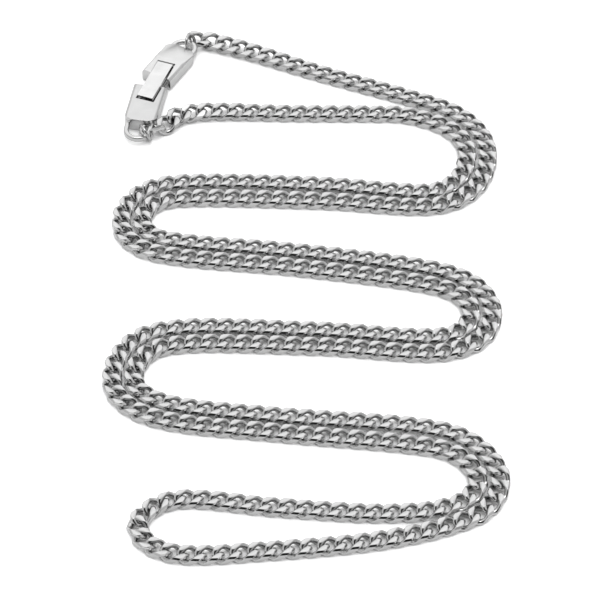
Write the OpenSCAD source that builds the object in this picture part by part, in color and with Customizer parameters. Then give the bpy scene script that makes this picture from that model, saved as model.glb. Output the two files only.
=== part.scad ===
// Cuban link chain with a two part box clasp, lying doubled in a flat serpentine.
// The origin is on the surface that it lies on, in the middle of the laid outline.
// +Z is up, and +Y runs along the lay towards the clasp.

/* [Chain] */
// Width of the chain over its links
chain_w = 2.6; // [2.45:0.05:2.7]
// Height of the chain, with its top and underside filed flat
chain_h = 1.35; // [1.15:0.05:1.6]
// Flat width of the filed top
top_flat_w = 2.1; // [1.4:0.05:2.4]
// Flat width of the filed underside
base_flat_w = 2; // [1.4:0.05:2.4]
// Height at which the links start to narrow towards the underside
side_low_z = 0.35; // [0.2:0.05:0.6]
// Height at which the links start to narrow towards the top
side_high_z = 0.9; // [0.6:0.05:1.1]
// Gap left between the two runs where they meet in the end loop
run_gap = 0.1; // [0.1:0.05:0.5]

/* [Clasp housings] */
// Width of a clasp housing
housing_w = 4.6; // [4.2:0.1:6]
// Height of a clasp housing
housing_h = 2; // [1.6:0.1:3]
// How much lower the upper housing's top is at its round end than at the lever
top_fall = 0.4; // [0:0.05:0.4]
// Where the upper housing's top starts to fall, from its end at the knee
slope_x = 3.2; // [3.2:0.1:5]
// Length of a housing's top plate
plate_l = 7.1; // [5:0.1:10]
// Distance from the knee to the centre of the upper housing's round end
upper_round_x = 7.2; // [7:0.1:9]
// Distance from the knee to the centre of the lower housing's round end
lower_round_x = 8.2; // [7.8:0.1:9]
// Radius along the top edges
top_edge_r = 0.6; // [0.2:0.05:0.9]
// Radius along the bottom edges
base_edge_r = 0.3; // [0.1:0.05:0.6]
// Radius of the plate's two corners at the round end, seen from above
plate_corner_r = 1.4; // [0.5:0.1:1.5]
// Direction of the upper housing, from the knee to its round end
upper_angle = 60; // [55:1:75]
// Direction of the lower housing, from the knee to its round end
lower_angle = 260; // [245:1:265]
// How far the foot of the lower housing's slanted face runs on towards the knee
slant_l = 1.2; // [0:0.1:1.5]

/* [Stirrups] */
// Width of a stirrup over its bar's two legs
stirrup_w = 3.9; // [3.5:0.1:4.2]
// Width of the bar round the end opening
bar_w = 0.7; // [0.5:0.05:0.8]
// Height of the bar
bar_h = 0.8; // [0.7:0.05:0.9]
// Height of the bar's underside above the surface
bar_z = 0.6; // [0.55:0.01:0.7]
// Radius along the bar's edges
bar_edge_r = 0.25; // [0.1:0.05:0.25]

/* [Latch lever] */
// Direction of the lever, from its free end to its pin
spine_angle = 70; // [65:1:75]
// Width of the lever
lever_w = 2.25; // [1.5:0.05:3]
// Thickness of the lever plate
lever_t = 0.45; // [0.3:0.05:0.8]
// Distance from the knee to the lever's free end
lever_reach = 3.8; // [2.5:0.1:5]
// Height of the lever's top at its free end
lever_tip_z = 2.25; // [2:0.05:2.6]
// Distance from the knee to the lever's pin
pin_x = 3.75; // [2.5:0.05:5]
// Height of the pin's axis
pin_z = 1.74; // [1.5:0.01:1.74]
// Radius of the pin
pin_r = 0.13; // [0.1:0.01:0.15]
// Outer radius of the lever's barrel round the pin
barrel_r = 0.26; // [0.24:0.01:0.3]
// Radial clearance of the pin in the housing
seat_clearance = 0.01; // [0.01:0.01:0.05]
// Radial clearance of the pin in the lever
swing_clearance = 0.03; // [0.01:0.01:0.1]
// Depth of the pin's blind holes in the housing, past the walls of the channel
pin_seat = 0.3; // [0.1:0.05:0.35]
// Gap between the pin's ends and the bottoms of their holes
pin_end_gap = 0.05; // [0.01:0.01:0.1]

/* [Channel and tongue] */
// Channel's half width on the left of the lever
channel_left = 1.18; // [1.18:0.01:1.6]
// Channel's half width on the right of the lever, where its dark gap shows
channel_right = 1.42; // [1.18:0.01:1.6]
// Height of the channel's floor in the upper housing
channel_z = 0.4; // [0.3:0.05:0.8]
// Height of the recess floor in the lower housing
recess_z = 1.35; // [1:0.05:1.6]
// Gap between the lever's barrel and the end of the channel
end_gap = 0.05; // [0.04:0.01:0.2]
// Gap between the lever's free end and the end of the recess
tip_gap = 0.35; // [0.2:0.05:0.6]
// Width of the tongue that runs from the lower housing into the channel
tongue_w = 2; // [1.2:0.1:2.2]
// Height of the tongue's underside
tongue_z = 0.55; // [0.5:0.05:0.7]
// Height of the tongue's top
tongue_top_z = 1.25; // [1:0.05:1.3]
// Reach of the tongue past the knee
tongue_reach = 2.9; // [1.5:0.1:3.4]

/* [End rings] */
// Radius of a ring to the middle of its wire
ring_r = 1.15; // [1.1:0.05:1.3]
// Radius of the ring's wire
ring_wire_r = 0.22; // [0.15:0.01:0.24]
// Height of a ring's lowest point above the surface
ring_lift = 0.02; // [0:0.01:0.05]
// Tilt of a ring from the surface
ring_tilt = 70; // [60:1:75]

/* [Finish] */
// Colour of the polished steel links
link_colour = "silver"; // [silver, lightgray, gainsboro]
// Colour of the polished clasp
clasp_colour = "gainsboro"; // [silver, lightgray, gainsboro]
// Colour of the pin
pin_colour = "darkgray"; // [darkgray, silver]

/* [Hidden] */
$fn = 48;
// How far a joined piece runs into its neighbour, and a cut runs past it
overlap = 0.2;
clear_past = 1;

// Places of the clasp's pieces on the surface
knee_spot = [-20.7, 37.4];
upper_spot = [-20.6, 38.6];
lower_spot = [-21.4, 36.4];
upper_ring_spot = [-16, 45.9];
upper_ring_turn = 70;
lower_ring_spot = [-21.7, 27.6];
lower_ring_turn = 115;

// Height of a ring's centre
ring_z = ring_r * sin(ring_tilt) + ring_wire_r + ring_lift;

// Columns of the guide between the two runs, and of their free ends
X = 0;
Y = 1;
HALF_GAP = 2;

// The guide line midway between the two runs, with half the distance between them
guide = [
    [14, 33.6, 1.8],
    [18, 32, 1.6],
    [21, 29.8, 1.5],
    [23, 26.4, 1.4],
    [23.2, 22.3, 1.4],
    [21.4, 18, 1.4],
    [17.7, 15.6, 1.4],
    [2, 16.6, 1.5],
    [-16.5, 17, 1.5],
    [-20.4, 16, 1.45],
    [-22.8, 13, 1.4],
    [-22.8, 9.5, 1.4],
    [-20.6, 7.1, 1.4],
    [-16.5, 5.9, 1.4],
    [-1, 4, 1.45],
    [14, 1.4, 1.45],
    [18.4, 0.1, 1.45],
    [21.4, -1.9, 1.4],
    [22.9, -5.6, 1.4],
    [21.7, -9.3, 1.4],
    [17.8, -11.3, 1.4],
    [2, -10.3, 1.4],
    [-16, -9.9, 1.45],
    [-20.4, -11.2, 1.45],
    [-22.9, -14.6, 1.4],
    [-23.1, -18.8, 1.4],
    [-21, -21.5, 1.4],
    [-17, -23.3, 1.4],
    [-3, -25.3, 1.4],
    [14, -27.2, 1.55],
    [18.6, -28.5, 1.5],
    [21.6, -31.2, 1.4],
    [22.8, -34.8, 1.4],
    [21.4, -38.3, 1.4],
    [17.5, -40.5, 1.45]
];
// The first run from the clasp to the guide, and from the guide to the end loop
first_head = [[-13.8, 46.8], [-7.5, 44.5], [2, 40.4]];
first_tail = [[10, -44.2], [-4, -46], [-16, -46.5], [-19.6, -44.6]];
// The second run from the clasp to the guide, and from the guide to the end loop
second_head = [[-18.8, 29.8], [-17.6, 31.2], [-14.2, 32.2], [0, 32.2], [10, 32.1]];
second_tail = [[10, -40], [-3, -39.1], [-16, -37.8], [-19.4, -39.6]];
// The point of the end loop where the two runs meet
loop_end = [-20.6, -42.2];

// The chain's section, from its top left corner on round
section = [
    [top_flat_w / 2, chain_h],
    [chain_w / 2, side_high_z],
    [chain_w / 2, side_low_z],
    [base_flat_w / 2, 0],
    [-base_flat_w / 2, 0],
    [-chain_w / 2, side_low_z],
    [-chain_w / 2, side_high_z],
    [-top_flat_w / 2, chain_h]
];

function unit(v) = v / norm(v);
function flat(p) = [p[X], p[Y]];
function left_of(v) = [-v[1], v[0]];

// Direction of a line of points at one of them: that of the stretches on both sides
function way_in(line, i) = unit(flat(line[i]) - flat(line[i - 1]));
function way_out(line, i) = unit(flat(line[i + 1]) - flat(line[i]));
function way(line, i) =
    i == 0 ? way_out(line, 0)
    : i == len(line) - 1 ? way_in(line, i)
    : unit(way_in(line, i) + way_out(line, i));

// How much a ring at a corner is widened, so that the chain keeps its width
function widening(line, i) =
    i == 0 || i == len(line) - 1 ? 1 : 1 / (way(line, i) * way_out(line, i));

// The guide's points, moved to one side of it: 1 is the left side, -1 the right
function beside_guide(side) = [
    for (i = [0 : len(guide) - 1])
        flat(guide[i]) + side * guide[i][HALF_GAP] * widening(guide, i) * left_of(way(guide, i))
];

first_run = concat(first_head, beside_guide(1), first_tail, [loop_end - [0, run_gap / 2]]);
second_run = concat(second_head, beside_guide(-1), second_tail, [loop_end + [0, run_gap / 2]]);

// The last stretch of each run ends square to the loop's far side
function end_way(line, i) = i == len(line) - 1 ? unit([0, line[i][Y] - line[i - 1][Y]]) : way(line, i);

module chain_run(line) {
    sides = len(section);
    last = len(line) - 1;
    points = [
        for (i = [0 : last], corner = section)
            let (side = left_of(end_way(line, i)) * corner[0] * widening(line, i))
            [line[i][X] + side[0], line[i][Y] + side[1], corner[1]]
    ];
    walls = [
        for (i = [0 : last - 1], k = [0 : sides - 1])
            let (a = i * sides + k, b = i * sides + (k + 1) % sides)
            each [[a, a + sides, b], [b, a + sides, b + sides]]
    ];
    start_cap = [for (k = [0 : sides - 1]) k];
    end_cap = [for (k = [sides - 1 : -1 : 0]) last * sides + k];
    polyhedron(points, concat(walls, [start_cap, end_cap]));
}

module on_lay(spot, turn) {
    translate([spot[X], spot[Y], 0]) rotate([0, 0, turn]) children();
}

// A rounded section, standing on its base line
module rounded_section(w, h, top_r, base_r) {
    for (side = [-1, 1]) {
        translate([side * (w / 2 - top_r), h - top_r]) circle(top_r);
        translate([side * (w / 2 - base_r), base_r]) circle(base_r);
    }
    translate([-w / 2, base_r]) square([w, h - top_r - base_r]);
    translate([base_r - w / 2, 0]) square([w - 2 * base_r, base_r]);
    translate([top_r - w / 2, h - top_r]) square([w - 2 * top_r, top_r]);
}

// Runs a section along X
module along_x(from, to) {
    translate([from, 0, 0]) rotate([90, 0, 90]) linear_extrude(to - from) children();
}

// The housing without its cuts, with the end of its plate rounded in plan
module housing_block(from) {
    straight_l = plate_l - plate_corner_r;
    intersection() {
        along_x(from, plate_l) rounded_section(housing_w, housing_h, top_edge_r, base_edge_r);
        linear_extrude(housing_h) {
            translate([from, -housing_w / 2]) square([straight_l - from, housing_w]);
            translate([from, plate_corner_r - housing_w / 2])
                square([plate_l - from, housing_w - 2 * plate_corner_r]);
            for (side = [-1, 1])
                translate([straight_l, side * (housing_w / 2 - plate_corner_r)]) circle(plate_corner_r);
        }
    }
}

module bar_section() {
    translate([0, bar_z]) rounded_section(bar_w, bar_h, bar_edge_r, bar_edge_r);
}

// The round end: a bar bent round an opening that the end ring passes through
module stirrup(round_x) {
    bend_r = (stirrup_w - bar_w) / 2;
    for (side = [-1, 1])
        translate([0, side * bend_r, 0])
            along_x(plate_l - plate_corner_r - overlap, round_x) bar_section();
    translate([round_x, 0, 0]) rotate([0, 0, -90])
        rotate_extrude(angle = 180) translate([bend_r, 0]) bar_section();
}

// Turns a piece from the housing's own direction to the lever's
module along_spine(from_spot, from_turn) {
    rotate([0, 0, -from_turn]) translate([knee_spot[X] - from_spot[X], knee_spot[Y] - from_spot[Y], 0])
        rotate([0, 0, spine_angle]) children();
}

// The straight slot that the lever lies in, open at the top
module lever_slot(from, to, floor_z) {
    translate([from, -channel_right, floor_z])
        cube([to - from, channel_right + channel_left, housing_h]);
}

// A round rod on the pin's axis, from its left end to its right end
module on_pin_axis(r, left, right) {
    translate([pin_x, left, pin_z]) rotate([90, 0, 0]) cylinder(h = left + right, r = r);
}

module upper_housing() {
    color(clasp_colour) on_lay(upper_spot, upper_angle) {
        difference() {
            housing_block(0);
            top_slope();
            along_spine(upper_spot, upper_angle) {
                lever_slot(-lever_reach, pin_x + barrel_r + end_gap, channel_z);
                on_pin_axis(pin_r + seat_clearance, channel_left + pin_seat, channel_right + pin_seat);
            }
        }
        stirrup(upper_round_x);
    }
}

// Cuts the upper housing's top down from the lever to its round end
module top_slope() {
    rotate([90, 0, 0]) linear_extrude(housing_w + clear_past, center = true)
        polygon([[slope_x, housing_h], [plate_l, housing_h - top_fall],
                 [plate_l + clear_past, housing_h - top_fall],
                 [plate_l + clear_past, housing_h + clear_past], [slope_x, housing_h + clear_past]]);
}

module lower_housing() {
    color(clasp_colour) on_lay(lower_spot, lower_angle) {
        difference() {
            housing_block(-slant_l);
            slanted_end();
            along_spine(lower_spot, lower_angle)
                lever_slot(-lever_reach - tip_gap, tongue_reach, recess_z);
        }
        along_spine(lower_spot, lower_angle) tongue();
        stirrup(lower_round_x);
    }
}

// Cuts the lower housing back from its foot to its top, which leaves the lever's knee open
module slanted_end() {
    rotate([90, 0, 0]) linear_extrude(housing_w + clear_past, center = true)
        polygon([[-slant_l - clear_past, 0], [-slant_l, 0], [0, housing_h],
                 [0, housing_h + clear_past], [-slant_l - clear_past, housing_h + clear_past]]);
}

module tongue() {
    translate([-lever_reach / 2, -tongue_w / 2, tongue_z])
        cube([lever_reach / 2 + tongue_reach, tongue_w, tongue_top_z - tongue_z]);
}

module latch_lever() {
    color(clasp_colour) on_lay(knee_spot, spine_angle) difference() {
        rotate([90, 0, 0]) linear_extrude(lever_w, center = true) lever_side();
        on_pin_axis(pin_r + swing_clearance, lever_w, lever_w);
    }
}

// The lever from the side: a barrel round the pin and a plate that rises to its free end
module lever_side() {
    translate([pin_x, pin_z]) circle(barrel_r);
    polygon([[pin_x, pin_z + barrel_r], [-lever_reach, lever_tip_z],
             [-lever_reach, lever_tip_z - lever_t], [pin_x, pin_z + barrel_r - lever_t]]);
}

module lever_pin() {
    grip = pin_seat - pin_end_gap;
    color(pin_colour) on_lay(knee_spot, spine_angle)
        on_pin_axis(pin_r, channel_left + grip, channel_right + grip);
}

module end_ring(spot, turn) {
    color(link_colour) on_lay(spot, turn) translate([0, 0, ring_z]) rotate([ring_tilt, 0, 0])
        rotate_extrude() translate([ring_r, 0]) circle(ring_wire_r);
}

module upper_end_ring() {
    end_ring(upper_ring_spot, upper_ring_turn);
}

module lower_end_ring() {
    end_ring(lower_ring_spot, lower_ring_turn);
}

module chain_first_run() {
    color(link_colour) on_lay([0, 0], 0) chain_run(first_run);
}

module chain_second_run() {
    color(link_colour) on_lay([0, 0], 0) chain_run(second_run);
}

chain_first_run();
chain_second_run();
upper_end_ring();
lower_end_ring();
upper_housing();
lower_housing();
latch_lever();
lever_pin();
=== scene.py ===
"""Cuban link chain laid doubled in a flat serpentine, with its two part box clasp."""

import bmesh
import bpy
import math

from mathutils import Euler, Matrix, Vector


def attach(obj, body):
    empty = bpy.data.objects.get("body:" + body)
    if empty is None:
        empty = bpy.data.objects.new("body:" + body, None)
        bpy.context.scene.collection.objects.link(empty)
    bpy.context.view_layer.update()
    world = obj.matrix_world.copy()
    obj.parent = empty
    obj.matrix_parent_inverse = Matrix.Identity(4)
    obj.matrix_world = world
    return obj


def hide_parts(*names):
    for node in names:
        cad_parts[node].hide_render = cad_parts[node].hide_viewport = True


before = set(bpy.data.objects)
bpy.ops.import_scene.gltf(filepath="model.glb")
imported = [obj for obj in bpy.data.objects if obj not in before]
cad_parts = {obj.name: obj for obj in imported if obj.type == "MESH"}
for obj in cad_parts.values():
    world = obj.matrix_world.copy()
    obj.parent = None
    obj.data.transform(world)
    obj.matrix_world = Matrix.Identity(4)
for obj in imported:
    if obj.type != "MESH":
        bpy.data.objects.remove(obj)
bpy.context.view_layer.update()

MM = 0.001


def mm(*values):
    return Vector(values) * MM


# Camera
VIEW_HEIGHT = 46.0      # degrees above the surface
VIEW_TARGET = mm(-0.7, -2.8, 0)
VIEW_DISTANCE = 475.5 * MM
LENS, SENSOR = 218.3, 36    # focal length and picture width, in mm


def towards(bearing, height):
    """Direction from the lay: bearing 0 is in front of it, at -Y, and 90 is on its +X side."""
    a, e = math.radians(bearing), math.radians(height)
    return Vector((math.sin(a) * math.cos(e), -math.cos(a) * math.cos(e), math.sin(e)))


def set_camera():
    lens = bpy.data.cameras.new("table_camera")
    lens.lens = LENS
    lens.sensor_width = SENSOR
    lens.clip_start, lens.clip_end = 0.01, 10
    camera = bpy.data.objects.new("table_camera", lens)
    bpy.context.scene.collection.objects.link(camera)
    back = towards(0, VIEW_HEIGHT)
    camera.location = VIEW_TARGET + back * VIEW_DISTANCE
    camera.rotation_mode = "QUATERNION"
    camera.rotation_quaternion = (-back).to_track_quat("-Z", "Y")
    bpy.context.scene.camera = camera


set_camera()


# Node helpers
def wire_up(tree, kind, settings=None, **sockets):
    """Adds a node, sets its properties, and joins or sets its input sockets by name."""
    node = tree.nodes.new(kind)
    for key, value in (settings or {}).items():
        setattr(node, key, value)
    for key, value in sockets.items():
        name = key.replace("_", " ")
        socket = next(s for s in node.inputs if s.name == name and s.enabled)
        if isinstance(value, bpy.types.NodeSocket):
            tree.links.new(value, socket)
        else:
            socket.default_value = value
    return node


def out(node, name):
    return next(s for s in node.outputs if s.name == name and s.enabled)


def blend(tree, share, low, high):
    """Mix of two numbers, either of which may be a socket."""
    mix = wire_up(tree, "ShaderNodeMix", {"data_type": "FLOAT"}, Factor=share, A=low, B=high)
    return out(mix, "Result")


# Table and soft box
TENT_LIGHT = 0.68       # the tent's plain walls
SKY_MAP = 256           # steps across the map that the light is drawn from
# The tent's other parts, each over the ones before it: bearing and height of its middle, where
# its soft edge starts and ends, all in degrees, and its brightness
TENT_PARTS = [
    (180, 50, 16, 56, 1.25),            # the lit back and roof
    (180, 0, 7, 23, 0.24),              # the darker gap at the foot of the back
    (0, 90, 10, 20, 3.56),              # the lamp over the roof
    (0, 0, 18, 35.5, 1.04),             # the low front, under the lens
    (0, VIEW_HEIGHT, 26, 36, 0.03),     # the dark opening that the lens looks through
]
TABLE_HALF = 1.5        # half the side of the table's paper, in metres
PAPER_GREY, PAPER_ROUGHNESS, PAPER_GLOSS = 0.9, 0.85, 0.1
PAPER_LIGHT = 0.125     # what comes up through the paper and lights the chain
PAPER_PAINTED_WHITE = 0.55      # how bright the paper glows to the lens where it lies open, a painted white over its shadows
PAPER_PAINTED_SHADE = 0.06        # and where links shut it in, a painted shade
SHUT_IN_REACH = 1.6     # how near in mm a link has to be to shut it in
SHUT_IN, OPEN = 0.3, 0.6    # share of free sky over the paper where it is dim, and where white


def patch(tree, ray, bearing, height, inner, outer):
    """1 inside a round patch of the sky, 0 outside it, with a soft edge, by angles in degrees."""
    facing = wire_up(tree, "ShaderNodeVectorMath", {"operation": "DOT_PRODUCT"})
    tree.links.new(ray, facing.inputs[0])
    facing.inputs[1].default_value = towards(bearing, height)
    edge = wire_up(tree, "ShaderNodeMapRange", {"interpolation_type": "SMOOTHSTEP"},
                   Value=facing.outputs["Value"], From_Min=math.cos(math.radians(outer)),
                   From_Max=math.cos(math.radians(inner)))
    return edge.outputs["Result"]


def light_tent():
    world = bpy.data.worlds.new("light_tent")
    bpy.context.scene.world = world
    world.use_nodes = True
    world.cycles.sampling_method = "MANUAL"
    world.cycles.sample_map_resolution = SKY_MAP
    tree = world.node_tree
    ray = tree.nodes.new("ShaderNodeTexCoord").outputs["Generated"]
    wall = TENT_LIGHT
    for bearing, height, inner, outer, light in TENT_PARTS:
        wall = blend(tree, patch(tree, ray, bearing, height, inner, outer), wall, light)
    tree.links.new(wall, tree.nodes["Background"].inputs["Color"])


def table_top():
    half = TABLE_HALF
    mesh = bpy.data.meshes.new("table_top")
    corners = [(-half, -half, 0), (half, -half, 0), (half, half, 0), (-half, half, 0)]
    mesh.from_pydata(corners, [], [(0, 1, 2, 3)])
    top = bpy.data.objects.new("table_top", mesh)
    bpy.context.scene.collection.objects.link(top)
    paper = bpy.data.materials.new("white_paper")
    paper.use_nodes = True
    tree = paper.node_tree
    shader = tree.nodes["Principled BSDF"]
    shader.inputs["Base Color"].default_value = (PAPER_GREY, PAPER_GREY, PAPER_GREY, 1)
    shader.inputs["Roughness"].default_value = PAPER_ROUGHNESS
    shader.inputs["Specular IOR Level"].default_value = PAPER_GLOSS
    shader.inputs["Emission Color"].default_value = (1, 1, 1, 1)
    # To the lens the paper glows with painted light and shade: white where it lies open, so its
    # shadows vanish, and dim where links shut it in. To everything else it glows at PAPER_LIGHT.
    seen = tree.nodes.new("ShaderNodeLightPath").outputs["Is Camera Ray"]
    free = wire_up(tree, "ShaderNodeAmbientOcclusion", {"samples": 8},
                   Distance=SHUT_IN_REACH * MM).outputs["AO"]
    bare = wire_up(tree, "ShaderNodeMapRange", Value=free,
                   From_Min=SHUT_IN, From_Max=OPEN).outputs["Result"]
    painted_paper_look = blend(tree, bare, PAPER_PAINTED_SHADE, PAPER_PAINTED_WHITE)
    glow = blend(tree, seen, PAPER_LIGHT, painted_paper_look)
    tree.links.new(glow, shader.inputs["Emission Strength"])
    mesh.materials.append(paper)


light_tent()
table_top()
bpy.context.scene.view_settings.view_transform = "Standard"


# Finishes
WEAR_SCALE = 420.0          # soft patches of wear, a few mm wide
GRAIN_SCALE = 5200.0        # fine grain where a piece has no polishing lines
LINE_SCALE = 7000.0         # across the polishing lines
LINE_STRETCH = 16.0         # how much longer than wide they are
SMOOTHER, ROUGHER = 0.6, 1.5    # the grain's roughness, as shares of the piece's own
HOLLOW_PAINTED_SHADE = 0.48         # brightness of the links' hollows, a painted shade, as a share of the steel's
GRAIN_STRENGTH, GRAIN_DEPTH = 0.03, 0.00002
LINES_ALONG = 70            # the clasp's length, in degrees from +X


def polished_steel(name, base, gloss, uneven=0.03, lines_along=None, hollow_painted_shade=False):
    """Polished steel: base is its brightness, gloss its roughness, and uneven how far its patches
    of wear differ. It may have a painted shade in its hollows, as on links, or fine polishing
    lines, as on the clasp, in a direction given in degrees from +X."""
    steel = bpy.data.materials.new(name)
    steel.use_nodes = True
    tree = steel.node_tree
    shader = tree.nodes["Principled BSDF"]
    shader.inputs["Metallic"].default_value = 1
    place = tree.nodes.new("ShaderNodeTexCoord").outputs["Object"]
    wear = wire_up(tree, "ShaderNodeTexNoise", Vector=place, Scale=WEAR_SCALE, Detail=3.0)
    if lines_along is None:
        grain = wire_up(tree, "ShaderNodeTexNoise", Vector=place, Scale=GRAIN_SCALE, Detail=4.0)
    else:
        drawn = wire_up(tree, "ShaderNodeMapping", {"vector_type": "TEXTURE"}, Vector=place,
                        Rotation=(0.0, 0.0, math.radians(lines_along)),
                        Scale=(LINE_STRETCH, 1.0, 1.0))
        grain = wire_up(tree, "ShaderNodeTexNoise", Vector=out(drawn, "Vector"),
                        Scale=LINE_SCALE, Detail=3.0)
    fine = out(grain, "Fac")
    shade = blend(tree, out(wear, "Fac"), base - 2 * uneven, base + 2 * uneven)
    rough = blend(tree, fine, gloss * SMOOTHER, gloss * ROUGHER)
    if hollow_painted_shade:
        # Painted shade: the steel is made darker where the hollow attribute is high, on the inside
        # of a link where shade falls
        filed = wire_up(tree, "ShaderNodeAttribute", {"attribute_name": "filed"})
        inner = wire_up(tree, "ShaderNodeAttribute", {"attribute_name": "hollow_painted_shade"})
        shade = blend(tree, out(inner, "Fac"), shade, base * HOLLOW_PAINTED_SHADE)
        rough = blend(tree, out(filed, "Fac"), rough, gloss)
    grey = wire_up(tree, "ShaderNodeCombineColor", Red=shade, Green=shade, Blue=shade)
    tree.links.new(out(grey, "Color"), shader.inputs["Base Color"])
    tree.links.new(rough, shader.inputs["Roughness"])
    bump = wire_up(tree, "ShaderNodeBump", Height=fine,
                   Strength=GRAIN_STRENGTH, Distance=GRAIN_DEPTH)
    tree.links.new(out(bump, "Normal"), shader.inputs["Normal"])
    return steel


# These are copies of one polished steel at different brightnesses. The darker bases of the lower
# housing and the rings are a painted shade for the dim surroundings they mirror.
LINK_STEEL = polished_steel("link_steel", 0.62, 0.1, hollow_painted_shade=True)
UPPER_STEEL = polished_steel("upper_housing_steel", 0.66, 0.17, 0.05, LINES_ALONG)
LOWER_STEEL = polished_steel("lower_housing_steel", 0.6, 0.17, 0.04, LINES_ALONG)
LEVER_STEEL = polished_steel("lever_steel", 0.71, 0.14, 0.06, LINES_ALONG)
RING_STEEL = polished_steel("ring_steel", 0.5, 0.12)
PIN_STEEL = polished_steel("pin_steel", 0.45, 0.3)


# One curb link
PITCH = 2.15
WIRE = 0.774            # thickness of the wire that a link is bent from
WIRE_WIDER = 1.106      # how much wider the wire is pressed across the link's opening
RAW_WIDTH = 3.163       # width of a link before its sides are filed
CHAIN_WIDTH = 2.547     # over the filed sides
CHAIN_HEIGHT = 1.232    # over the filed flats
CORNER_FILED = 0.203    # what is filed off the long corners, measured along the flats
TWIST = 46.0            # degrees from a link's middle to each of its ends
TWIST_EARLY = 0.847     # under 1, most of the twist is near the middle
LENGTHENING = 1.075     # of the wire's middle line, over one pitch and the wire's thickness
POINTED = 1.15          # over 1, a link's bends are rounder than its ends
AROUND, ACROSS = 16, 8  # faces round a link, and round its wire
PAINTED_SHADE_SPREAD = 0.7     # under 1, the painted shade in a hollow reaches further round the wire


def link_line(turn):
    """The middle of the link's wire, a full oval twisted about its length."""
    long_half = LENGTHENING * (PITCH + WIRE) / 2
    wide_half = (RAW_WIDTH - WIRE) / 2
    along, beside = (half * math.copysign(abs(share) ** POINTED, share) for half, share in
                     ((long_half, math.cos(turn)), (wide_half, math.sin(turn))))
    lean = -math.radians(TWIST) * math.copysign(abs(along / long_half) ** TWIST_EARLY, along)
    return Vector((along, beside * math.cos(lean), beside * math.sin(lean)))


def reaches(line):
    """How far along a line each of its points is."""
    reach = [0.0]
    for a, b in zip(line, line[1:]):
        reach.append(reach[-1] + (b - a).length)
    return reach


def even_turns(count):
    """Turns at which the wire's rings stand evenly spaced along it."""
    steps = 720
    reach = reaches([link_line(2 * math.pi * k / steps) for k in range(steps + 1)])
    turns, k = [], 0
    for i in range(count):
        goal = reach[-1] * (i + 0.5) / count
        while reach[k + 1] < goal:
            k += 1
        share = (goal - reach[k]) / (reach[k + 1] - reach[k])
        turns.append(2 * math.pi * (k + share) / steps)
    return turns


def filed_flats():
    """The planes a link is filed to, in metres: top, underside, sides and four long corners."""
    above, beside = Vector((0, 0, 1)), Vector((0, 1, 0))
    top, side = above * CHAIN_HEIGHT / 2, beside * CHAIN_WIDTH / 2
    flats = [(top, above), (-top, -above), (side, beside), (-side, -beside)]
    for across in (-1, 1):
        for up in (-1, 1):
            corner = across * (side - beside * CORNER_FILED) + up * top
            flats.append((corner, (across * beside + up * above).normalized()))
    return [(place * MM, facing) for place, facing in flats]


def curb_link():
    """A twisted link filed to its flats, in metres."""
    mesh = bmesh.new()
    hollow_painted_shade = mesh.verts.layers.float.new("hollow_painted_shade")
    rings = []
    for turn in even_turns(AROUND):
        middle = link_line(turn)
        way = (link_line(turn + 0.001) - link_line(turn - 0.001)).normalized()
        outward = (middle - middle.dot(way) * way).normalized()
        upward = way.cross(outward)
        ring = []
        for k in range(ACROSS):
            angle = 2 * math.pi * k / ACROSS
            side = outward * WIRE_WIDER * math.cos(angle) + upward * math.sin(angle)
            vert = mesh.verts.new((middle + side * WIRE / 2) * MM)
            # How far this side of the wire faces into the link's opening: the share of the
            # hollows' painted shade it gets
            vert[hollow_painted_shade] = max(0.0, -math.cos(angle)) ** PAINTED_SHADE_SPREAD
            ring.append(vert)
        rings.append(ring)
    for i, ring in enumerate(rings):
        following = rings[(i + 1) % AROUND]
        for k in range(ACROSS):
            n = (k + 1) % ACROSS
            mesh.faces.new((ring[k], ring[n], following[n], following[k]))
    for face in mesh.faces:
        face.smooth = True
    filed = mesh.faces.layers.float.new("filed")
    for place, facing in filed_flats():
        cut = bmesh.ops.bisect_plane(
            mesh, geom=mesh.verts[:] + mesh.edges[:] + mesh.faces[:],
            plane_co=place, plane_no=facing, clear_outer=True)
        rim = [e for e in cut["geom_cut"] if isinstance(e, bmesh.types.BMEdge)]
        for edge in rim:
            edge.smooth = False
        for face in bmesh.ops.edgenet_fill(mesh, edges=rim)["faces"]:
            face.smooth = False
            face[filed] = 1.0
    bmesh.ops.recalc_face_normals(mesh, faces=mesh.faces)
    data = bpy.data.meshes.new("curb_link")
    mesh.to_mesh(data)
    mesh.free()
    data.materials.append(LINK_STEEL)
    return bpy.data.objects.new("curb_link", data)


# The lay
# The guide line midway between the two runs: place, and half the distance between the runs
GUIDE = [
    (14, 33.6, 1.8), (18, 32, 1.6), (21, 29.8, 1.5), (23, 26.4, 1.4), (23.2, 22.3, 1.4),
    (21.4, 18, 1.4), (17.7, 15.6, 1.4), (2, 16.6, 1.5), (-16.5, 17, 1.5), (-20.4, 16, 1.45),
    (-22.8, 13, 1.4), (-22.8, 9.5, 1.4), (-20.6, 7.1, 1.4), (-16.5, 5.9, 1.4), (-1, 4, 1.45),
    (14, 1.4, 1.45), (18.4, 0.1, 1.45), (21.4, -1.9, 1.4), (22.9, -5.6, 1.4), (21.7, -9.3, 1.4),
    (17.8, -11.3, 1.4), (2, -10.3, 1.4), (-16, -9.9, 1.45), (-20.4, -11.2, 1.45),
    (-22.9, -14.6, 1.4), (-23.1, -18.8, 1.4), (-21, -21.5, 1.4), (-17, -23.3, 1.4),
    (-3, -25.3, 1.4), (14, -27.2, 1.55), (18.6, -28.5, 1.5), (21.6, -31.2, 1.4),
    (22.8, -34.8, 1.4), (21.4, -38.3, 1.4), (17.5, -40.5, 1.45),
]
FIRST_HEAD = [(-13.8, 46.8), (-7.5, 44.5), (2, 40.4)]
FIRST_TAIL = [(10, -44.2), (-4, -46), (-16, -46.5), (-19.6, -44.6)]
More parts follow.
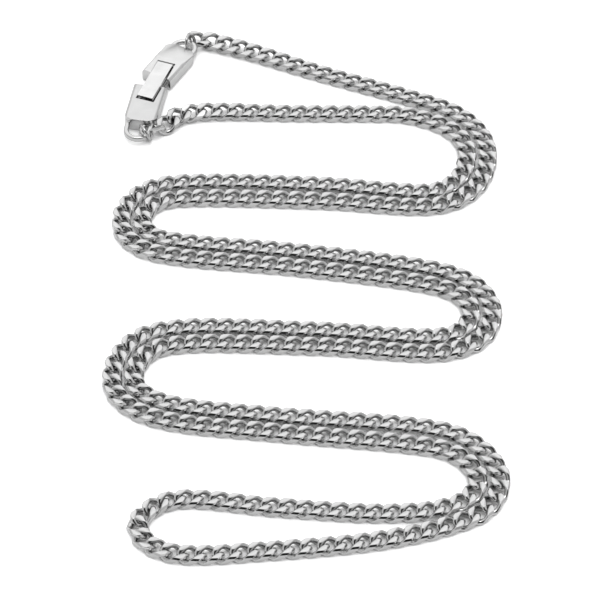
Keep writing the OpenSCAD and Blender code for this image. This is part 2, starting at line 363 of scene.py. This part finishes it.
SECOND_HEAD = [(-18.8, 29.8), (-17.6, 31.2), (-14.2, 32.2), (0, 32.2), (10, 32.1)]
SECOND_TAIL = [(10, -40), (-3, -39.1), (-16, -37.8), (-19.4, -39.6)]
LOOP_END = (-20.6, -42.2)
# The link that is threaded through the clasp's ring at each end of the chain: where its middle
# is, and its turns about its length, across it and about the vertical, in degrees
FIRST_HOOK = ((-14.83, 46.9, 0.85), (-4, 8, -17))
SECOND_HOOK = ((-20.9, 28.7, 0.9), (-17, -12, -4))
HOOKED_PAST = (1.0, 0.0)    # from each head to the middle of the link that the hooked one holds
LEAN = 18.0                 # degrees that the first links lean, turned by the hooked ones
LEAN_FADES = 18.0           # how far from the clasp the lean dies away
LEANING_REACH = 0.44        # how far out a leaning link touches the table, as a share of its width


def beside_guide(side):
    """The guide's points moved to its left, 1, or right, -1."""
    line = []
    for i, (x, y, half_gap) in enumerate(GUIDE):
        before, after = GUIDE[max(i - 1, 0)], GUIDE[min(i + 1, len(GUIDE) - 1)]
        here = Vector((x, y))
        way_in = (here - Vector(before[:2])).normalized() if i else Vector((0, 0))
        way_out = (Vector(after[:2]) - here).normalized() if i < len(GUIDE) - 1 else Vector((0, 0))
        way = (way_in + way_out).normalized()
        line.append(here + side * half_gap * Vector((-way.y, way.x)))
    return line


def smooth_line(points, step=0.1):
    """A smooth line through the points: a centripetal spline, drawn with short straight steps."""
    points = [Vector(p) for p in points]
    points = [2 * points[0] - points[1]] + points + [2 * points[-1] - points[-2]]
    line = []
    for a, b, c, d in zip(points, points[1:], points[2:], points[3:]):
        ab, bc, cd = ((q - p).length ** 0.5 for p, q in ((a, b), (b, c), (c, d)))
        count = max(2, round((c - b).length / step))
        leave = (b - a) / ab - (c - a) / (ab + bc) + (c - b) / bc
        arrive = (c - b) / bc - (d - b) / (bc + cd) + (d - c) / cd
        leave, arrive = leave * bc, arrive * bc
        for k in range(count):
            t = k / count
            line.append((2 * t**3 - 3 * t**2 + 1) * b + (t**3 - 2 * t**2 + t) * leave
                        + (3 * t**2 - 2 * t**3) * c + (t**3 - t**2) * arrive)
    line.append(points[-2])
    return line


def whole_lay():
    """The line of the links' middles, from the clasp's upper ring round to its lower ring."""
    first = FIRST_HEAD + beside_guide(1) + FIRST_TAIL
    second = SECOND_HEAD + beside_guide(-1) + SECOND_TAIL
    return smooth_line(first + [LOOP_END] + second[::-1])


def cut_line(line, start, end):
    """The stretch of a line between two distances along it, in mm."""
    stretch, reach = [], 0.0
    for a, b in zip(line, line[1:]):
        step = (b - a).length
        if reach + step >= start and not stretch:
            stretch.append(a.lerp(b, (start - reach) / step))
        if stretch and reach + step >= end:
            stretch.append(a.lerp(b, (end - reach) / step))
            break
        if stretch:
            stretch.append(b)
        reach += step
    return stretch


def lean_at(reach):
    """How far the links lean towards the front, in radians, at a distance from the clasp."""
    share = max(0.0, 1 - reach / LEAN_FADES)
    return math.radians(LEAN) * share * share * (3 - 2 * share)


def lying_height(lean):
    """Height of a link's middle when it lies on the table at that lean."""
    return (CHAIN_HEIGHT / 2 * math.cos(lean)
            + LEANING_REACH * CHAIN_WIDTH * abs(math.sin(lean)))


# Links along a run
LINK_PLAY = 1.6                 # degrees that a link may be off true
PLAY_SHARES = (1, 0.4, 0.8)     # of that, about its length, across it and about the vertical
FIRST_SEED, SECOND_SEED = 3, 8  # of the play in each run


def links_tree():
    """Sets links evenly along a line, each turned to follow it and a little off true."""
    tree = bpy.data.node_groups.new("links_along_run", "GeometryNodeTree")
    face = tree.interface
    for name, kind in (("Run", "Geometry"), ("Link", "Object"), ("Links", "Int"),
                       ("Play", "Float"), ("Seed", "Int"), ("Steel", "Material")):
        face.new_socket(name, in_out="INPUT", socket_type="NodeSocket" + kind)
    face.new_socket("Chain", in_out="OUTPUT", socket_type="NodeSocketGeometry")
    given = tree.nodes.new("NodeGroupInput").outputs
    line = wire_up(tree, "GeometryNodeMeshToCurve", Mesh=given["Run"])
    spots = wire_up(tree, "GeometryNodeResampleCurve", Curve=out(line, "Curve"),
                    Count=given["Links"])
    shape = wire_up(tree, "GeometryNodeObjectInfo", Object=given["Link"])
    follow = tree.nodes.new("GeometryNodeInputTangent")
    facing = wire_up(tree, "FunctionNodeAlignRotationToVector", {"axis": "X", "pivot_axis": "Z"},
                     Vector=out(follow, "Tangent"))
    loose = wire_up(tree, "FunctionNodeRandomValue", {"data_type": "FLOAT_VECTOR"},
                    Min=[-share for share in PLAY_SHARES], Max=PLAY_SHARES, Seed=given["Seed"])
    play = wire_up(tree, "ShaderNodeVectorMath", {"operation": "SCALE"},
                   Vector=out(loose, "Value"), Scale=given["Play"])
    roll = wire_up(tree, "GeometryNodeInputNamedAttribute", {"data_type": "FLOAT"}, Name="roll")
    rolled = wire_up(tree, "ShaderNodeCombineXYZ", X=out(roll, "Attribute"))
    both = wire_up(tree, "ShaderNodeVectorMath", {"operation": "ADD"})
    tree.links.new(out(rolled, "Vector"), both.inputs[0])
    tree.links.new(out(play, "Vector"), both.inputs[1])
    lean = wire_up(tree, "FunctionNodeEulerToRotation", Euler=out(both, "Vector"))
    turned = wire_up(tree, "FunctionNodeRotateRotation", {"rotation_space": "LOCAL"},
                     Rotation=out(facing, "Rotation"), Rotate_By=out(lean, "Rotation"))
    placed = wire_up(tree, "GeometryNodeInstanceOnPoints", Points=out(spots, "Curve"),
                     Instance=out(shape, "Geometry"), Rotation=out(turned, "Rotation"))
    real = wire_up(tree, "GeometryNodeRealizeInstances", Geometry=out(placed, "Instances"))
    steel = wire_up(tree, "GeometryNodeSetMaterial", Geometry=out(real, "Geometry"),
                    Material=given["Steel"])
    end = tree.nodes.new("NodeGroupOutput")
    tree.links.new(out(steel, "Geometry"), end.inputs["Chain"])
    return tree


def made_real(obj, name):
    """A plain mesh object of what obj's modifiers make."""
    scene = bpy.context.scene.collection
    scene.objects.link(obj)
    bpy.context.view_layer.update()
    made = obj.evaluated_get(bpy.context.evaluated_depsgraph_get())
    mesh = bpy.data.meshes.new_from_object(made)
    obj.modifiers.clear()
    bpy.data.objects.remove(obj)
    mesh.name = name
    piece = bpy.data.objects.new(name, mesh)
    scene.objects.link(piece)
    return piece


def add_hooked_link(piece, link, middle, turns):
    """Joins the link that is threaded through the clasp's ring to the end of a run."""
    hooked = link.data.copy()
    turn = Euler([math.radians(a) for a in turns]).to_matrix().to_4x4()
    hooked.transform(Matrix.Translation(mm(*middle)) @ turn)
    both = bmesh.new()
    both.from_mesh(piece.data)
    both.from_mesh(hooked)
    both.to_mesh(piece.data)
    both.free()
    bpy.data.meshes.remove(hooked)


def chain_run(name, node, stretch, links, tree, link, seed, hook, from_clasp):
    """One run of links along a stretch of the lay, with the clasp at its start or at its end."""
    reach = reaches(stretch)
    leans = [lean_at(r) if from_clasp else -lean_at(reach[-1] - r) for r in reach]
    places = [mm(p.x, p.y, lying_height(lean)) for p, lean in zip(stretch, leans)]
    mesh = bpy.data.meshes.new(name)
    mesh.from_pydata(places, [(i, i + 1) for i in range(len(places) - 1)], [])
    roll = mesh.attributes.new("roll", "FLOAT", "POINT")
    roll.data.foreach_set("value", leans)
    obj = bpy.data.objects.new(name + "_line", mesh)
    rig = obj.modifiers.new("links", "NODES")
    rig.node_group = tree
    inputs = {s.name: s.identifier for s in tree.interface.items_tree if s.in_out == "INPUT"}
    rig[inputs["Link"]] = link
    rig[inputs["Links"]] = links
    rig[inputs["Play"]] = math.radians(LINK_PLAY)
    rig[inputs["Seed"]] = seed
    rig[inputs["Steel"]] = LINK_STEEL
    piece = made_real(obj, name)
    add_hooked_link(piece, link, *hook)
    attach(piece, "root")
    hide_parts(node)


def nearest_reach(line, spot):
    """Distance along a line to its point nearest to spot."""
    return min(zip(line, reaches(line)), key=lambda point: (point[0] - spot).length)[1]


def build_chain():
    """Both runs, with the pitch that spaces whole links evenly along the lay."""
    lay = whole_lay()
    length = reaches(lay)[-1]
    lay = cut_line(lay, HOOKED_PAST[0], length - HOOKED_PAST[1])
    length -= sum(HOOKED_PAST)
    links = round(length / PITCH) + 1
    pitch = length / (links - 1)
    first = int(nearest_reach(lay, Vector(LOOP_END)) / pitch) + 1
    tree, link = links_tree(), curb_link()
    print("lay", round(length, 2), "mm,", links, "links of", round(pitch, 4),
          "mm; first run", first, "; faces of a link", len(link.data.polygons))
    first_stretch = cut_line(lay, 0, (first - 1) * pitch)
    second_stretch = cut_line(lay, first * pitch, length)
    chain_run("first_run_links", "chain_first_run", first_stretch, first,
              tree, link, FIRST_SEED, FIRST_HOOK, True)
    chain_run("second_run_links", "chain_second_run", second_stretch, links - first,
              tree, link, SECOND_SEED, SECOND_HOOK, False)
    bpy.data.objects.remove(link)


build_chain()


# Clasp
SMOOTH_UNDER = 35       # degrees: sharper edges than this are broken
EDGE_STEPS = 3
# The clasp's larger pieces: steel, how wide their edges are broken in mm, and body
CLASP = {
    "upper_housing": (UPPER_STEEL, 0.02, "root"),
    "lower_housing": (LOWER_STEEL, 0.05, "root"),
    "latch_lever": (LEVER_STEEL, 0.012, "lever"),
}
REFINISHED = {"upper_end_ring": RING_STEEL, "lower_end_ring": RING_STEEL, "lever_pin": PIN_STEEL}


def softened(node, steel, width, body):
    """The clasp piece with its sharp edges broken, in the plain one's place."""
    name = node + "_polished"
    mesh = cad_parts[node].data.copy()
    work = bmesh.new()
    work.from_mesh(mesh)
    bmesh.ops.remove_doubles(work, verts=work.verts, dist=1e-7)
    bmesh.ops.dissolve_limit(work, angle_limit=math.radians(1), verts=work.verts, edges=work.edges)
    for face in work.faces:
        face.smooth = True
    work.to_mesh(mesh)
    work.free()
    mesh.materials.clear()
    mesh.materials.append(steel)
    obj = bpy.data.objects.new(name + "_edges", mesh)
    edge = obj.modifiers.new("broken_edges", "BEVEL")
    edge.width = width * MM
    edge.segments = EDGE_STEPS
    edge.limit_method = "ANGLE"
    edge.angle_limit = math.radians(SMOOTH_UNDER)
    edge.use_clamp_overlap = False
    edge.harden_normals = True
    piece = made_real(obj, name)
    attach(piece, body)
    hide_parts(node)


def refinish(node, steel):
    """New steel on a piece whose shape stays."""
    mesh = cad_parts[node].data
    mesh.materials.clear()
    mesh.materials.append(steel)


for clasp_node, (clasp_steel, edge_width, clasp_body) in CLASP.items():
    softened(clasp_node, clasp_steel, edge_width, clasp_body)
for plain_node, plain_steel in REFINISHED.items():
    refinish(plain_node, plain_steel)
